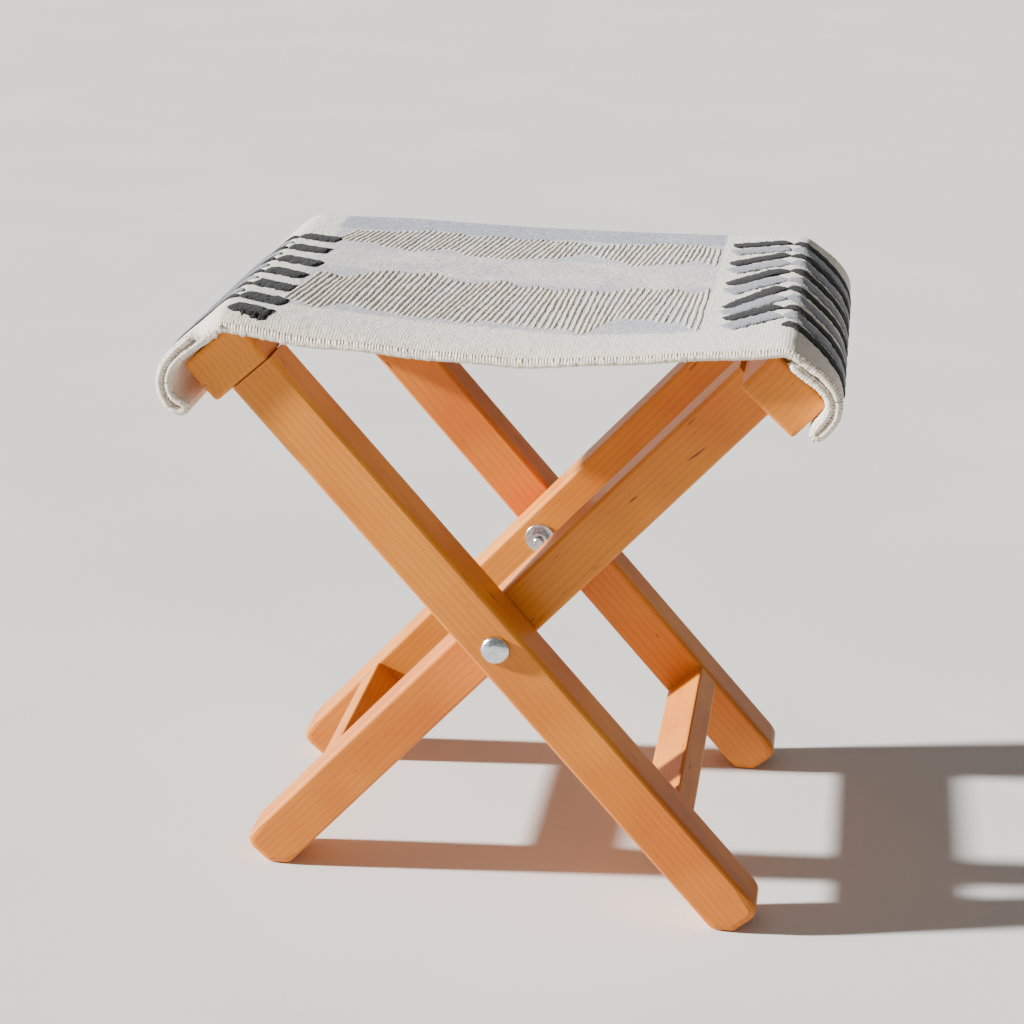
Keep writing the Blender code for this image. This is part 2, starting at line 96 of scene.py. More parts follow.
def makePine(name, centre, turn, seed):
    material, tree, shader = startMaterial(
        name, IOR=1.5, Coat_Weight=pine["coat"], Coat_Roughness=pine["coatRoughness"],
        Specular_IOR_Level=pine["specular"])
    euler = Euler(turn)
    shift = Vector((pine["heart"], 0.012 * math.sin(seed), 0.3 * seed)) - euler.to_matrix() @ centre
    place = addNode(tree, "ShaderNodeTexCoord").outputs["Object"]
    board = addNode(tree, "ShaderNodeMapping", {
        "Vector": place, "Rotation": tuple(turn), "Location": tuple(shift)}).outputs[0]
    slow = addNode(tree, "ShaderNodeMapping", {"Vector": board, "Scale": (14.0, 14.0, 1.7)})
    drift = addNode(tree, "ShaderNodeTexNoise", {
        "Vector": slow.outputs[0], "Scale": 1.0, "Detail": 3.0, "Roughness": 0.55})
    flat = addNode(tree, "ShaderNodeVectorMath", {0: board, 1: (1.0, 1.0, 0.012)},
                   operation="MULTIPLY").outputs[0]
    radius = addNode(tree, "ShaderNodeVectorMath", {0: flat}, operation="LENGTH").outputs["Value"]
    bent = addNode(tree, "ShaderNodeMath", {0: drift.outputs[0], 1: 2 * pine["wander"]},
                   operation="MULTIPLY").outputs[0]
    rings = addNode(tree, "ShaderNodeMath", {0: radius, 1: 1 / pine["ringPitch"], 2: bent},
                    operation="MULTIPLY_ADD").outputs[0]
    phase = addNode(tree, "ShaderNodeMath", {0: rings}, operation="FRACT").outputs[0]
    late = addNode(tree, "ShaderNodeValToRGB", {"Fac": phase}, stops=[
        (0.0, "#000000"), (0.45, "#3A3A3A"), (0.82, "#C4C4C4"), (0.93, "#F2F2F2"),
        (1.0, "#101010")])
    fine = 1 / pine["fibrePitch"]
    along = addNode(tree, "ShaderNodeMapping", {
        "Vector": board, "Scale": (fine, fine, pine["fibreStretch"])}).outputs[0]
    fibre = addNode(tree, "ShaderNodeTexNoise", {
        "Vector": along, "Scale": 1.0, "Detail": 4.0, "Roughness": 0.6}).outputs[0]
    broad = addNode(tree, "ShaderNodeTexNoise", {
        "Vector": board, "Scale": 9.0, "Detail": 2.0}).outputs[0]
    ground = addNode(tree, "ShaderNodeValToRGB", {"Fac": broad}, stops=[
        (0.32, pine["earlyDeep"]), (0.62, pine["earlyWood"])]).outputs[0]
    faint = addNode(tree, "ShaderNodeMath", {0: fibre, 1: pine["ringContrast"]},
                    operation="MULTIPLY").outputs[0]
    strength = addNode(tree, "ShaderNodeMath", {0: late.outputs[0], 1: faint},
                       operation="MULTIPLY", use_clamp=True).outputs[0]
    ringed = addNode(tree, "ShaderNodeMix", {
        0: strength, 6: ground, 7: hexColour(pine["lateWood"])}, data_type="RGBA").outputs[2]
    grain = addNode(tree, "ShaderNodeMath", {0: fibre, 1: 0.5, 2: 0.74},
                    operation="MULTIPLY_ADD").outputs[0]
    toned = addNode(tree, "ShaderNodeMix", {
        0: 1.0, 6: ringed, 7: grain}, data_type="RGBA", blend_type="MULTIPLY").outputs[2]
    specks = addNode(tree, "ShaderNodeMapping", {"Vector": board, "Scale": (380.0, 380.0, 45.0)})
    speck = addNode(tree, "ShaderNodeTexNoise", {
        "Vector": specks.outputs[0], "Scale": 1.0, "Detail": 1.0})
    dots = addNode(tree, "ShaderNodeMapRange", {
        "Value": speck.outputs[0], "From Min": 0.74, "From Max": 0.80, "To Max": 0.8}).outputs[0]
    flecked = addNode(tree, "ShaderNodeMix", {
        0: dots, 6: toned, 7: hexColour(pine["fleck"])}, data_type="RGBA").outputs[2]
    # painted highlight: the colour is made paler along every rounded edge, standing partly for
    # varnish wear and partly for light on the edges
    softer = addNode(tree, "ShaderNodeBevel", {"Radius": pine["edgeWearAndHighlight"]}, samples=6).outputs[0]
    hard = addNode(tree, "ShaderNodeNewGeometry").outputs["Normal"]
    facing = addNode(tree, "ShaderNodeVectorMath", {0: softer, 1: hard}, operation="DOT_PRODUCT")
    edge = addNode(tree, "ShaderNodeMapRange", {
        "Value": facing.outputs["Value"], "From Min": 1.0, "From Max": 0.86,
        "To Max": 0.45}).outputs[0]
    wornAndHighlit = addNode(tree, "ShaderNodeMix", {  # paler corners: partly varnish rubbed thin, partly a painted highlight of the sunlit rounded edges
        0: edge, 6: flecked, 7: hexColour(pine["wornAndHighlitEdge"])}, data_type="RGBA").outputs[2]
    tree.links.new(wornAndHighlit, shader.inputs["Base Color"])
    gloss = addNode(tree, "ShaderNodeMapRange", {
        "Value": fibre, "To Min": pine["roughness"] - 0.08, "To Max": pine["roughness"] + 0.1})
    tree.links.new(gloss.outputs[0], shader.inputs["Roughness"])
    relief = addNode(tree, "ShaderNodeMath", {0: late.outputs[0], 1: 0.5, 2: fibre},
                     operation="MULTIPLY_ADD").outputs[0]
    bump = addNode(tree, "ShaderNodeBump", {
        "Height": relief, "Distance": pine["reliefDepth"], "Strength": 0.5})
    tree.links.new(bump.outputs[0], shader.inputs["Normal"])
    return material


# zinc-plated steel: cold-formed and barrel plated, so bright, slightly blue and a little cloudy

def makeSteel(name, colour, roughness, cloud):
    material, tree, shader = startMaterial(name, Metallic=1.0)
    place = addNode(tree, "ShaderNodeTexCoord").outputs["Object"]
    blotch = addNode(tree, "ShaderNodeTexNoise", {
        "Vector": place, "Scale": 260.0, "Detail": 5.0, "Roughness": 0.65}).outputs[0]
    tint = addNode(tree, "ShaderNodeValToRGB", {"Fac": blotch}, stops=[
        (0.3, cloud), (0.62, colour)]).outputs[0]
    tree.links.new(tint, shader.inputs["Base Color"])
    gloss = addNode(tree, "ShaderNodeMapRange", {
        "Value": blotch, "To Min": roughness - 0.08, "To Max": roughness + 0.12})
    tree.links.new(gloss.outputs[0], shader.inputs["Roughness"])
    scratch = addNode(tree, "ShaderNodeTexNoise", {"Vector": place, "Scale": 1400.0, "Detail": 3.0})
    bump = addNode(tree, "ShaderNodeBump", {
        "Height": scratch.outputs[0], "Distance": 0.00003, "Strength": 0.5})
    tree.links.new(bump.outputs[0], shader.inputs["Normal"])
    return material


# turned beech: rolled dowel stock, paler than the pine and short-flecked

def makeBeech(name):
    material, tree, shader = startMaterial(name, IOR=1.5)
    place = addNode(tree, "ShaderNodeTexCoord").outputs["Object"]
    fleck = addNode(tree, "ShaderNodeMapping", {"Vector": place, "Scale": (900.0, 200.0, 900.0)})
    grain = addNode(tree, "ShaderNodeTexNoise", {
        "Vector": fleck.outputs[0], "Scale": 1.0, "Detail": 3.0}).outputs[0]
    tint = addNode(tree, "ShaderNodeValToRGB", {"Fac": grain}, stops=[
        (0.35, "#B98A5E"), (0.6, "#D9B58A")]).outputs[0]
    tree.links.new(tint, shader.inputs["Base Color"])
    gloss = addNode(tree, "ShaderNodeMapRange", {"Value": grain, "To Min": 0.5, "To Max": 0.7})
    tree.links.new(gloss.outputs[0], shader.inputs["Roughness"])
    return material


# hand-woven wool: soft and matt, with nubs, crossing threads and heathered colour

wool = {
    "cream": "#FAEFDB", "creamDeep": "#E6D6BC", "lilac": "#B4A8B4", "blueGrey": "#7F879C",
    "smoke": "#A9A8B2", "grey": "#AEB1BB", "olive": "#8C7A4C",
    "threadPitch": 0.0021, "nubSize": 0.0042, "threadHeight": 0.40, "reliefDepth": 0.0009,
}


# threads, nubs and fuzz on a wool colour, with painted shade in the low spots of the weave and a
# painted highlight on its high points
def woolSurface(tree, shader, colour, nubs, coordinates):
    threads = []
    for direction in ("X", "Y"):  # thread spacing is twice the real 1 mm, or it would not show
        threads.append(addNode(tree, "ShaderNodeTexWave", {
            "Vector": coordinates, "Scale": 0.314 / wool["threadPitch"], "Distortion": 3.6,
            "Detail": 2.0, "Detail Scale": 2.0}, bands_direction=direction).outputs[1])
    crossed = addNode(tree, "ShaderNodeMath", {0: threads[0], 1: threads[1]},
                      operation="MAXIMUM").outputs[0]
    lump = addNode(tree, "ShaderNodeTexVoronoi", {
        "Vector": coordinates, "Scale": 1 / wool["nubSize"]}).outputs["Distance"]
    fuzz = addNode(tree, "ShaderNodeTexNoise", {
        "Vector": coordinates, "Scale": 1500.0, "Detail": 4.0, "Roughness": 0.7}).outputs[0]
    height = addNode(tree, "ShaderNodeMath", {0: fuzz, 1: 0.5}, operation="MULTIPLY").outputs[0]
    for part, share in ((crossed, wool["threadHeight"]), (lump, -nubs)):
        height = addNode(tree, "ShaderNodeMath", {0: part, 1: share, 2: height},
                         operation="MULTIPLY_ADD").outputs[0]
    # painted shade and highlight: the colour is darkened where the relief is low and lightened a
    # little where it is high
    shade = addNode(tree, "ShaderNodeMapRange", {
        "Value": height, "From Min": -0.3, "From Max": 0.8, "To Min": 0.78,
        "To Max": 1.06}).outputs[0]
    hollowShadedColour = addNode(tree, "ShaderNodeMix", {0: 1.0, 6: colour, 7: shade},
                   data_type="RGBA", blend_type="MULTIPLY").outputs[2]
    tree.links.new(hollowShadedColour, shader.inputs["Base Color"])
    bump = addNode(tree, "ShaderNodeBump", {
        "Height": height, "Distance": wool["reliefDepth"], "Strength": 0.8})
    tree.links.new(bump.outputs[0], shader.inputs["Normal"])


def makeYarn(name, light, dark, nubs=0.4, sheen=0.3):
    material, tree, shader = startMaterial(
        name, Roughness=0.92, Sheen_Weight=sheen, Sheen_Roughness=0.5)
    place = addNode(tree, "ShaderNodeTexCoord").outputs["Object"]
    heather = addNode(tree, "ShaderNodeTexNoise", {
        "Vector": place, "Scale": 420.0, "Detail": 4.0, "Roughness": 0.7}).outputs[0]
    tint = addNode(tree, "ShaderNodeValToRGB", {"Fac": heather}, stops=[
        (0.36, dark), (0.58, light)]).outputs[0]
    woolSurface(tree, shader, tint, nubs, place)
    return material


# the ground cloth is coloured from its own U (along) and V (across), in metres
def makeClothMaterial(name, zones):
    material, tree, shader = startMaterial(
        name, Roughness=0.94, Sheen_Weight=0.4, Sheen_Roughness=0.5)
    flat = addNode(tree, "ShaderNodeUVMap", uv_map="clothUV").outputs[0]
    split = addNode(tree, "ShaderNodeSeparateXYZ", {0: flat})
    alongU, acrossV = split.outputs[0], split.outputs[1]
    heather = addNode(tree, "ShaderNodeTexNoise", {
        "Vector": flat, "Scale": 380.0, "Detail": 5.0, "Roughness": 0.75}).outputs[0]
    cream = addNode(tree, "ShaderNodeValToRGB", {"Fac": heather}, stops=[
        (0.34, wool["creamDeep"]), (0.52, wool["cream"])]).outputs[0]
    speckle = addNode(tree, "ShaderNodeTexNoise", {
        "Vector": flat, "Scale": 230.0, "Detail": 3.0, "Roughness": 0.8}).outputs[0]
    patch = addNode(tree, "ShaderNodeTexNoise", {
        "Vector": flat, "Scale": 26.0, "Detail": 2.0}).outputs[0]
    colour = cream  # each zone then paints over the last one
    for zone in zones:
        seeded = addNode(tree, "ShaderNodeMath", {0: alongU, 1: zone["seed"]}).outputs[0]
        wave = addNode(tree, "ShaderNodeTexNoise", {
            "W": seeded, "Scale": zone["waves"], "Detail": 1.0}, noise_dimensions="1D").outputs[0]
        swing = addNode(tree, "ShaderNodeMath", {
            0: wave, 1: 2 * zone["swing"], 2: -zone["swing"]}, operation="MULTIPLY_ADD").outputs[0]
        level = addNode(tree, "ShaderNodeMath", {0: acrossV, 1: swing},
                        operation="SUBTRACT").outputs[0]
        mask = 1.0
        for value, start, end in (  # inside the band's two borders and its two ends
                (level, zone["low"] - zone["soft"], zone["low"] + zone["soft"]),
                (level, zone["high"] + zone["soft"], zone["high"] - zone["soft"]),
                (alongU, zone["left"] - 0.002, zone["left"] + 0.002),
                (alongU, zone["right"] + 0.001, zone["right"] - 0.001)):
            inside = addNode(tree, "ShaderNodeMapRange", {
                "Value": value, "From Min": start, "From Max": end}).outputs[0]
            mask = addNode(tree, "ShaderNodeMath", {0: inside, 1: mask},
                           operation="MULTIPLY").outputs[0]
        dapple = addNode(tree, "ShaderNodeMath", {0: patch, 1: zone["patchy"], 2: speckle},
                         operation="MULTIPLY_ADD").outputs[0]
        broken = addNode(tree, "ShaderNodeMapRange", {
            "Value": dapple, "From Min": zone["from"], "From Max": zone["to"]}).outputs[0]
        mask = addNode(tree, "ShaderNodeMath", {0: mask, 1: broken},
                       operation="MULTIPLY").outputs[0]
        colour = addNode(tree, "ShaderNodeMix", {
            0: mask, 6: colour, 7: hexColour(zone["colour"])}, data_type="RGBA").outputs[2]
    woolSurface(tree, shader, colour, 0.55, flat)
    return material


# the cloth's line is given across each frame and along its legs, then turned to the ground

seat = {
    "halfAngle": math.radians(42), "thickness": 0.006, "linePitch": 0.0015, "thinEdge": 0.0012,
    "edgeRound": 0.0035, "gridPitch": 0.0027, "flatReach": 0.19, "droopReach": 0.215,
    "backSag": 0.004, "frontSag": 0.0155, "droop": 0.0050, "droopFrom": -0.149, "droopLean": 0.8,
    "frontEdge": -0.1665, "backEdge": 0.1550,
}
# the hems' middle lines from the crown to the frayed tip: across each frame, then along it
hems = {
    "right": ((0.0125, 0.3010), (0.0000, 0.3030), (-0.0150, 0.3045), (-0.0280, 0.3030),
              (-0.0370, 0.2980), (-0.0425, 0.2905), (-0.0440, 0.2820), (-0.0440, 0.2735),
              (-0.0420, 0.2685), (-0.0395, 0.2695), (-0.0378, 0.2760), (-0.0376, 0.2840),
              (-0.0360, 0.2910), (-0.0300, 0.2965), (-0.0200, 0.2980), (-0.0080, 0.2960),
              (0.0050, 0.2948)),
    "left": ((0.0125, 0.3020), (0.0000, 0.3022), (-0.0150, 0.3025), (-0.0300, 0.3028),
             (-0.0420, 0.3000), (-0.0510, 0.2945), (-0.0562, 0.2865), (-0.0585, 0.2770),
             (-0.0560, 0.2690), (-0.0500, 0.2655), (-0.0462, 0.2680), (-0.0495, 0.2725),
             (-0.0525, 0.2780), (-0.0505, 0.2855), (-0.0455, 0.2915), (-0.0380, 0.2960),
             (-0.0280, 0.2972), (-0.0150, 0.2960), (-0.0020, 0.2950), (0.0110, 0.2946)),
}
pivotHeight = frame["joints"][0]["pos_m"][2]


def toGround(across, along):
    sine, cosine = math.sin(seat["halfAngle"]), math.cos(seat["halfAngle"])
    return Vector((along * sine - across * cosine, along * cosine + across * sine + pivotHeight))


def smoothLine(points, rounds):
    for _ in range(rounds):
        points = [points[0]] + [(a + 2 * b + c) / 4 for a, b, c in zip(
            points, points[1:], points[2:])] + [points[-1]]
    return points


def evenSteps(points, pitch):  # the same line at an even pitch, so that U is real length
    lengths = [0.0]
    for before, after in zip(points, points[1:]):
        lengths.append(lengths[-1] + (after - before).length)
    count = round(lengths[-1] / pitch)
    made, k = [], 0
    for step in range(count + 1):
        want = lengths[-1] * step / count
        while k < len(points) - 2 and lengths[k + 1] < want:
            k += 1
        share = (want - lengths[k]) / (lengths[k + 1] - lengths[k])
        made.append(points[k].lerp(points[k + 1], share))
    return made, lengths[-1] / count


# the middle of the cloth, from the seat's centre round one rail to its frayed end
def clothLine(side):
    hem = [toGround(*point) for point in hems[side]]
    crown = hem[0]
    middle = (toGround(*hems["left"][0]).y + toGround(*hems["right"][0]).y) / 2
    flat = [Vector((crown.x, crown.y)).lerp(Vector((0.0, middle)), 1 - k / 60) for k in range(58)]
    line, _ = evenSteps(flat + hem, seat["linePitch"])
    return smoothLine(line, 14)


lines = {side: clothLine(side) for side in hems}
joined = [Vector((-p.x, p.y)) for p in reversed(lines["left"][1:])] + lines["right"]
wholeLine, linePitch = evenSteps(joined, seat["linePitch"])
clothLeft = -linePitch * min(range(len(wholeLine)), key=lambda k: abs(wholeLine[k].x) + (
    0.0 if wholeLine[k].y > 0.42 and abs(wholeLine[k].x) < 0.05 else 1.0))
clothRight = clothLeft + linePitch * (len(wholeLine) - 1)
crownX = min(abs(toGround(*hems[side][0]).x) for side in hems)
print("cloth line is", round(clothRight - clothLeft, 4), "m long")


# where a point of the flat cloth lands: U along, V across, height above its middle
def onCloth(u, v, height):
    spot = max(0.0, min(len(wholeLine) - 1.001, (u - clothLeft) / linePitch))
    k = int(spot)
    middle = wholeLine[k].lerp(wholeLine[k + 1], spot - k)
    ahead = wholeLine[min(len(wholeLine) - 1, k + 2)] - wholeLine[max(0, k - 1)]
    up = Vector((-ahead.y, ahead.x)).normalized()
    place = middle + up * height
    towardsFront = max(0.0, (seat["backEdge"] - v) / (seat["backEdge"] - seat["frontEdge"]))
    sag = seat["backSag"] + (seat["frontSag"] - seat["backSag"]) * towardsFront ** 1.5
    span = min(1.0, abs(middle.x) / crownX)
    if abs(u) < seat["flatReach"]:
        place.y -= sag * (1 - span ** 2) ** 1.2
    over = max(0.0, seat["droopFrom"] - v) / (seat["droopFrom"] - seat["frontEdge"])
    wavy = 0.0010 * math.sin(37 * u + 1.0) + 0.0006 * math.sin(83 * u)
    sideways = seat["droop"] * (1 - seat["droopLean"] * max(-1.0, min(1.0, u / 0.18)))
    place -= up * ((sideways + wavy) * over ** 2 if abs(u) < seat["droopReach"] else 0.0)
    corner = max(0.0, min(1.0, (-0.120 - u) / 0.06)) * max(0.0, v / seat["backEdge"]) ** 2
    return Vector((place.x, v - 0.014 * corner, place.y))


def nub(u, v):  # woven lumps on the cloth's faces, in metres
    fine = noise.noise(Vector((u * 330, v * 330, 0.0)))
    coarse = noise.noise(Vector((u * 90, v * 90, 4.0)))
    return 0.0002 * fine + 0.0003 * coarse


def finishPiece(name, bm, material, smooth=True):
    mesh = bpy.data.meshes.new(name)
    for face in bm.faces:
        face.smooth = smooth
    bm.to_mesh(mesh)
    bm.free()
    piece = bpy.data.objects.new(name, mesh)
    bpy.context.scene.collection.objects.link(piece)
    for one in material if isinstance(material, list) else [material]:
        piece.data.materials.append(one)
    print(name, len(mesh.polygons), "faces")
    return piece


# the ground cloth is a flat slab first, so its UVs are real metres, and is then wrapped

def makeGroundCloth(material):
    front, back, pitch = seat["frontEdge"], seat["backEdge"], seat["gridPitch"]
    long, wide = clothRight - clothLeft, back - front
    bm = bmesh.new()
    bmesh.ops.create_grid(bm, x_segments=round(long / pitch), y_segments=round(wide / pitch),
                          size=0.5)
    for vert in bm.verts:
        vert.co = ((clothLeft + clothRight) / 2 + vert.co.x * long,
                   (front + back) / 2 + vert.co.y * wide, 0.0)
    bmesh.ops.solidify(bm, geom=bm.faces[:], thickness=seat["thickness"])
    low = min(vert.co.z for vert in bm.verts)
    high = max(vert.co.z for vert in bm.verts)
    for vert in bm.verts:
        vert.co.z -= (low + high) / 2
    uv = bm.loops.layers.uv.new("clothUV")
    for face in bm.faces:
        for loop in face.loops:
            loop[uv].uv = (loop.vert.co.x, loop.vert.co.y)
    for vert in bm.verts:
        u, v, side = vert.co.x, vert.co.y, math.copysign(1.0, vert.co.z)
        room = min(v - front, back - v, u - clothLeft, clothRight - u)
        full = math.sqrt(max(0.0, 1 - (1 - min(1.0, room / seat["edgeRound"])) ** 2))
        swell = seat["thickness"] / 2 - seat["thinEdge"] + nub(u, v)
        height = side * (seat["thinEdge"] + swell * full)
        ragged = 0.0012 * noise.noise(Vector((u * 300, v * 300, 2.0))) * (room < 0.001)
        vert.co = onCloth(u, v + ragged, height)
    bmesh.ops.recalc_face_normals(bm, faces=bm.faces[:])
    return finishPiece("seatClothGround", bm, material)


# raised yarns: each is a small grid rolled into a closed, tapered tube along its own path

mergeDistance = 0.00001


def addYarn(bm, path, halfWidth, halfHeight, sides=6, taper=0.25, material=0, rough=0.22):
    count = len(path) - 1
    made = bmesh.ops.create_grid(bm, x_segments=count, y_segments=sides, size=1.0)["verts"]
    for vert in made:
        i = round((vert.co.x + 1) / 2 * count)
        turn = (vert.co.y + 1) / 2 * math.tau
        share = i / count
        ends = min(1.0, share / taper, (1 - share) / taper)
        thin = math.sqrt(max(0.0, 1 - (1 - ends) ** 2))
        u, v, height = path[i]
        before, after = path[max(0, i - 1)], path[min(count, i + 1)]
        du, dv = after[0] - before[0], after[1] - before[1]
        size = math.hypot(du, dv) or 1.0
        lump = 1 + rough * noise.noise(Vector((u * 500 + 3 * turn, v * 500, halfWidth * 9000)))
        side = halfWidth * thin * lump * math.cos(turn)
        vert.co = (u - dv / size * side, v + du / size * side,
                   height + halfHeight * thin * math.sin(turn))
    for face in {face for vert in made for face in vert.link_faces}:
        face.material_index = material


def closeYarns(bm):
    bmesh.ops.remove_doubles(bm, verts=bm.verts[:], dist=mergeDistance)
    for vert in bm.verts:
        vert.co = onCloth(*vert.co)
    bmesh.ops.recalc_face_normals(bm, faces=bm.faces[:])


topOfCloth = seat["thickness"] / 2

hatch = {
    "left": -0.156, "right": 0.130, "pitch": 0.0042, "halfWidth": 0.00150, "halfHeight": 0.0007,
    "upperHigh": 0.112, "upperLow": 0.056, "lowerHigh": -0.012, "lowerLow": -0.112,
    "sunk": 0.0001, "steps": 12, "straightens": 0.05,
}


def waveLine(u, seed, size):
    slow = noise.noise(Vector((u * 17, seed, 0.0)))
    return size * (1.9 * slow + 0.9 * noise.noise(Vector((u * 48, seed, 3.0))))


def makeHatch(material):  # two wavy bands of slanting raised ribs
    bm = bmesh.new()
    rows = (("upperHigh", "upperLow", 2.0, 0.014), ("lowerHigh", "lowerLow", 6.0, 0.016))
    for high, low, seed, size in rows:
        u = hatch["left"]
        while u < hatch["right"]:
            top = hatch[high] + waveLine(u, seed, size)
            bottom = hatch[low] + waveLine(u, seed + 11, size)
            lean = 0.010 + 0.016 * noise.noise(Vector((u * 13, seed, 8.0)))
            lean *= min(1.0, (hatch["right"] - u) / hatch["straightens"])
            path = []
            for k in range(hatch["steps"] + 1):
                share = k / hatch["steps"]
                wobble = 0.0007 * noise.noise(Vector((u * 400, share * 5, seed)))
                path.append((u + lean * (share - 0.5) + wobble, bottom + (top - bottom) * share,
                             topOfCloth - hatch["sunk"]))
            width = hatch["halfWidth"] * (0.9 + 0.25 * random.random())
            addYarn(bm, path, width, hatch["halfHeight"], taper=0.08)
            u += hatch["pitch"] * (0.9 + 0.2 * random.random())
    closeYarns(bm)
    return finishPiece("seatClothRibs", bm, material)


# chevrons over each rail: dark and grey bars rise to the rail's crown and fall outside it

chevron = {
    "inner": 0.148, "innerBack": 0.138, "crown": 0.183, "blackHalf": 0.0074, "greyHalf": 0.0090,
    "lift": 0.0011, "gapAtCrown": 0.0015, "rightEnd": 0.246, "leftEnd": -0.256, "fall": 0.032,
    "rightCrowns": (0.132, 0.0935, 0.046, -0.005, -0.059, -0.103),
    "rises": (0.017, 0.036, 0.047, 0.060, 0.034, 0.030), "shortLeft": 0.157, "shortHalf": 0.0100,
    "past": 0.007, "greyDown": 0.018, "margin": 0.006, "stepLength": 0.0017,
    "leftCrowns": (0.066, 0.029, -0.008, -0.044, -0.080, -0.115, -0.145),
}


def barPath(start, end, steps, seed):
    path = []
    for k in range(steps + 1):
        share = k / steps
        ragged = 0.0014 * noise.noise(Vector((share * 7, seed, 1.0)))
        path.append((start[0] + (end[0] - start[0]) * share,
                     start[1] + (end[1] - start[1]) * share + ragged, topOfCloth))
    return path


def makeChevrons(black, grey):
    bm = bmesh.new()
    crown, gap, lift = chevron["crown"], chevron["gapAtCrown"], chevron["lift"]
    blackHalf, greyHalf, past = chevron["blackHalf"], chevron["greyHalf"], chevron["past"]
    rightEnd, leftEnd, fall = chevron["rightEnd"], chevron["leftEnd"], chevron["fall"]
    bars = []  # each is start, end, half width, material, taper
    crowns = chevron["rightCrowns"]
    starts = [v - rise for v, rise in zip(crowns, chevron["rises"])]
    last = len(crowns) - 1  # the bar nearest the front runs only down the outside
    for index, v in enumerate(crowns):
        back = (v - crowns[-1]) / (crowns[0] - crowns[-1])
        inner = chevron["inner"] + (chevron["innerBack"] - chevron["inner"]) * back
        inner += 0.003 * math.sin(3.1 * index)
        if index < last:
            between = (v + crowns[index + 1]) / 2
            begin = max((starts[index] + starts[index + 1]) / 2, starts[index] - 0.021)
            bars.append(((inner, starts[index]), (crown - gap, v), blackHalf, 0, 0.08))
            bars.append(((inner, begin), (crown - gap, between), greyHalf, 1, 0.06))
        bars.append(((crown + gap, v - 0.001), (rightEnd, v - fall), blackHalf, 0, 0.05))
        if index < last:
            bars.append(((crown + gap, between), (rightEnd, between - fall), greyHalf, 1, 0.05))
    for index, v in enumerate(chevron["leftCrowns"]):
        start = -chevron["shortLeft"] - 0.002 * math.sin(2.3 * index)
        low = v - chevron["greyDown"]
        bars.append(((start, v - 0.004), (-crown - 0.006, v + 0.002),
                     chevron["shortHalf"], 0, 0.16))
        bars.append(((-crown - past, v + 0.001), (leftEnd, v - fall), blackHalf, 0, 0.05))
        bars.append(((-crown - past, low), (leftEnd, low - fall), blackHalf, 1, 0.05))
    for seed, (start, end, half, slot, taper) in enumerate(bars):
        if min(start[1], end[1]) - half > seat["frontEdge"] + chevron["margin"]:
            steps = max(14, round(abs(end[0] - start[0]) / chevron["stepLength"]))
            addYarn(bm, barPath(start, end, steps, seed), half, lift, sides=12, taper=taper,
                    material=slot, rough=0.45)
    closeYarns(bm)
    return finishPiece("seatClothChevrons", bm, [black, grey])


# whipped edges: short yarn loops over the two cut edges, with a darker tick now and then

edging = {
    "pitch": 0.0021, "halfWidth": 0.0011, "lap": 0.0030, "inset": 0.0006, "fromEnds": 0.004,
    "slant": 0.0030, "flatten": 0.35, "steps": 10, "tickShare": 0.30,
}


def makeEdging(cream, tan):
    bm = bmesh.new()
    half = seat["thickness"] / 2
    for edge, out in ((seat["frontEdge"], -1), (seat["backEdge"], 1)):
        u = clothLeft + edging["fromEnds"]
        while u < clothRight - edging["fromEnds"]:
            slant = edging["slant"] * (random.random() - 0.3)
            loop = []
            reach = edging["lap"] * (0.8 + 0.4 * random.random())
            for k in range(edging["steps"] + 1):
                share = k / edging["steps"]
                inwards = edging["inset"] + reach * (1 - math.sin(math.pi * share)) * 0.9
                loop.append((u + slant * (share - 0.5), edge - out * inwards,
                             half * math.cos(math.pi * share)))
            tick = random.random() < edging["tickShare"]
            addLoop(bm, loop, edging["halfWidth"] * (0.7 + 0.6 * random.random()), material=0)
            if tick:
                short = [(p[0] + edging["pitch"] / 2, p[1] + out * 0.0004, p[2])
                         for p in loop[4:9]]
                addLoop(bm, short, edging["halfWidth"] * 0.45, material=1)
            u += edging["pitch"]
    closeYarns(bm)
    return finishPiece("seatClothEdging", bm, [cream, tan])


def addLoop(bm, path, radius, material, sides=5):  # a yarn that goes over the cloth's edge
    count = len(path) - 1
    made = bmesh.ops.create_grid(bm, x_segments=count, y_segments=sides, size=1.0)["verts"]
    for vert in made:
        i = round((vert.co.x + 1) / 2 * count)
        turn = (vert.co.y + 1) / 2 * math.tau
        ends = min(1.0, 4 * i / count, 4 * (count - i) / count)
        thin = radius * math.sqrt(max(0.0, 1 - (1 - ends) ** 2))
        before, after = Vector(path[max(0, i - 1)]), Vector(path[min(count, i + 1)])
        along = (after - before).normalized()
        across = along.cross(Vector((1.0, 0.0, 0.0))).normalized()
        sideways = across.cross(along)
        vert.co = (Vector(path[i]) + across * thin * edging["flatten"] * math.cos(turn)
                   + sideways * thin * math.sin(turn))
    for face in {face for vert in made for face in vert.link_faces}:
        face.material_index = material


# frayed ends: loose yarn ends along the folded return, and at its front corners

fray = {"shortest": 0.005, "spread": 0.007, "drift": 0.004, "rooted": 0.006, "pitch": 0.0026,
        "halfWidth": 0.0009, "halfHeight": 0.0008, "tanShare": 0.25, "steps": 5}


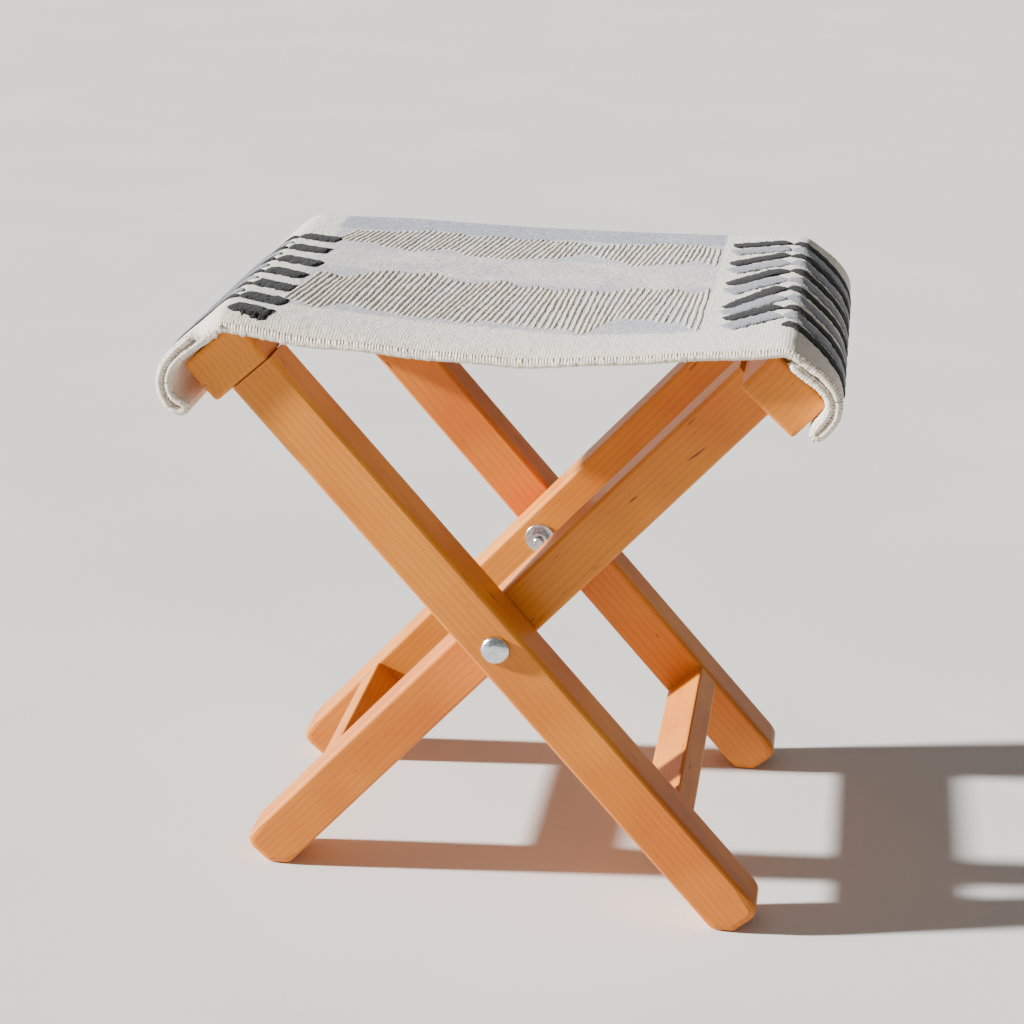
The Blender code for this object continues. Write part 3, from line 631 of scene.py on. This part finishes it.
def makeFray(cream, tan):
    bm = bmesh.new()
    for side, end in ((-1, clothLeft), (1, clothRight)):
        v = seat["frontEdge"] + 0.004
        while v < seat["backEdge"] - 0.002:
            length = fray["shortest"] + fray["spread"] * random.random()
            drift = fray["drift"] * (random.random() - 0.5)
            height = -0.0022 + 0.004 * random.random()
            path = []
            for share in (k / fray["steps"] for k in range(fray["steps"] + 1)):
                path.append((end + side * (length * share - fray["rooted"]), v + drift * share ** 2,
                             height + 0.001 * math.sin(3 * share + v * 90)))
            addYarn(bm, path, fray["halfWidth"], fray["halfHeight"], sides=5, taper=0.2,
                    material=random.random() < fray["tanShare"])
            v += fray["pitch"]
    bmesh.ops.remove_doubles(bm, verts=bm.verts[:], dist=mergeDistance)
    for vert in bm.verts:
        u, v, height = vert.co
        inside = max(clothLeft, min(clothRight, u))
        place = onCloth(inside, v, height)
        ahead = toGround(1.0, 0.0) - toGround(0.0, 0.0)
        place.x += (u - inside) * ahead.x
        place.z += abs(u - inside) * ahead.y
        vert.co = place
    bmesh.ops.recalc_face_normals(bm, faces=bm.faces[:])
    return finishPiece("seatClothFray", bm, [cream, tan])


# wood, metal and cloth go on

def grainTurns(side):  # turns that bring a leg's length, or a rail's, to the grain direction Z
    lean = side * seat["halfAngle"]
    return {"leg": (0.0, -lean, 0.0), "rail": (math.pi / 2, 0.0, -lean)}


pineEndings = ("_leg_front", "_leg_back", "_seat_rail", "_stretcher")
pineBoards = [name for name in nodes if name.endswith(pineEndings)]
for index, name in enumerate(sorted(pineBoards)):
    lowest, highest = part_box(name)
    side = 1 if name.startswith("inner") else -1
    kind = "leg" if "_leg_" in name else "rail"
    board = makePine("varnishedPine-" + name, (lowest + highest) / 2,
                     grainTurns(side)[kind], index + 1)
    nodes[name].data.materials.clear()
    nodes[name].data.materials.append(board)

zincPlated = makeSteel("zincPlatedSteel", "#DDE0E4", 0.24, "#B4B9C0")
blueTack = makeSteel("bluedTackSteel", "#6E747C", 0.38, "#3E434B")
turnedBeech = makeBeech("rolledBeechDowel")
for name in nodes:
    kind = zincPlated if name.startswith("pivot_") else blueTack if "_tack_" in name else \
        turnedBeech if "_dowel_" in name else None
    if kind:
        nodes[name].data.materials.clear()
        nodes[name].data.materials.append(kind)
print("wood and metal done")

# bands of dyed weft on the ground cloth, in metres across and along it
clothZones = [
    {"low": 0.112, "high": 0.3, "left": -0.168, "right": 0.1315, "seed": 2.0, "waves": 9.0,
     "swing": 0.018, "soft": 0.0015, "colour": wool["blueGrey"],
     "patchy": 0.25, "from": 0.33, "to": 0.60},
    {"low": 0.052, "high": 0.112, "left": -0.165, "right": 0.1315, "seed": 2.0, "waves": 9.0,
     "swing": 0.014, "soft": 0.003, "colour": wool["grey"],
     "patchy": 0.4, "from": 0.38, "to": 0.68},
    {"low": -0.118, "high": -0.010, "left": -0.160, "right": 0.1300, "seed": 6.0, "waves": 8.0,
     "swing": 0.014, "soft": 0.003, "colour": wool["smoke"],
     "patchy": 0.5, "from": 0.46, "to": 0.78},
    {"low": -0.04, "high": 0.070, "left": -0.165, "right": 0.1315, "seed": 9.0, "waves": 12.0,
     "swing": 0.010, "soft": 0.008, "colour": wool["lilac"],
     "patchy": 0.6, "from": 0.62, "to": 0.95},
]
ground = makeGroundCloth(makeClothMaterial("handWovenWool", clothZones))
creamYarn = makeYarn("spunCreamWool", wool["cream"], wool["creamDeep"])
blackYarn = makeYarn("dyedBlackWool", "#2B2728", "#0E0C0D", 0.9, sheen=0.05)
greyYarn = makeYarn("dyedGreyWool", "#9B9DA6", "#777A84", 0.7)
tanYarn = makeYarn("undyedTanWool", "#A98F5E", wool["olive"])
ribs = makeHatch(creamYarn)
bars = makeChevrons(blackYarn, greyYarn)
trim = makeEdging(creamYarn, tanYarn)
looseEnds = makeFray(creamYarn, tanYarn)

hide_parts("seat_cloth")
for piece in (ground, ribs, bars, trim, looseEnds):
    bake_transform(piece)
print("cloth done")


# floor, lights and camera

room = {"floor": "#E9E6E0", "floorDeep": "#E2DFD9", "floorReach": 40.0,
        "sunPower": 14.0, "sunTravel": (1.0, 0.16, -0.41), "sunSize": 3.0,
        "fillPower": 1.0, "fillSize": 1.6, "worldGrey": "#FFFFFF", "worldStrength": 0.18}

floorMesh = bmesh.new()
bmesh.ops.create_grid(floorMesh, x_segments=1, y_segments=1, size=room["floorReach"])
floorMaterial, floorTree, floorShader = startMaterial("matteFloorPaint", Roughness=0.9)
floorPlace = addNode(floorTree, "ShaderNodeTexCoord").outputs["Object"]
floorNoise = addNode(floorTree, "ShaderNodeTexNoise", {
    "Vector": floorPlace, "Scale": 3.0}).outputs[0]
floorTint = addNode(floorTree, "ShaderNodeValToRGB", {"Fac": floorNoise}, stops=[
    (0.3, room["floorDeep"]), (0.7, room["floor"])]).outputs[0]
floorTree.links.new(floorTint, floorShader.inputs["Base Color"])
floor = finishPiece("floor", floorMesh, floorMaterial, smooth=False)

world = bpy.context.scene.world or bpy.data.worlds.new("softRoom")
bpy.context.scene.world = world
world.use_nodes = True
backdrop = world.node_tree.nodes["Background"]
backdrop.inputs["Color"].default_value = hexColour(room["worldGrey"])
backdrop.inputs["Strength"].default_value = room["worldStrength"]


def addLight(name, kind, energy, place, travel, **settings):
    light = bpy.data.lights.new(name, kind)
    light.energy = energy
    for key, value in settings.items():
        setattr(light, key, value)
    holder = bpy.data.objects.new(name, light)
    holder.location = place
    holder.rotation_euler = Vector(travel).to_track_quat("-Z", "Y").to_euler()
    bpy.context.scene.collection.objects.link(holder)
    return holder


addLight("keySun", "SUN", room["sunPower"], (-1.0, -1.0, 2.0), room["sunTravel"],
         angle=math.radians(room["sunSize"]))
addLight("softFill", "AREA", room["fillPower"], (1.3, -1.5, 1.0), (-1.3, 1.5, -0.7),
         size=room["fillSize"])

cameraFit = {"place": (0.22754, -1.67113, 0.86522), "pan": -8.09, "tilt": 19.92, "roll": 1.2,
             "lens": 83.53, "shift": (-0.003, 0.0014)}
pan, tilt, roll = (math.radians(cameraFit[key]) for key in ("pan", "tilt", "roll"))
forward = Vector((math.sin(pan) * math.cos(tilt), math.cos(pan) * math.cos(tilt), -math.sin(tilt)))
level = Vector((math.cos(pan), -math.sin(pan), 0.0))
upward = level.cross(forward)
acrossView = math.cos(roll) * level + math.sin(roll) * upward
upView = math.cos(roll) * upward - math.sin(roll) * level
camera = bpy.data.objects.new("camera", bpy.data.cameras.new("camera"))
camera.data.lens = cameraFit["lens"]
camera.data.shift_x, camera.data.shift_y = cameraFit["shift"]
camera.matrix_world = Matrix.Translation(cameraFit["place"]) @ Matrix(
    (acrossView, upView, -forward)).transposed().to_4x4()
bpy.context.scene.collection.objects.link(camera)
bpy.context.scene.camera = camera
print("camera and lights done")
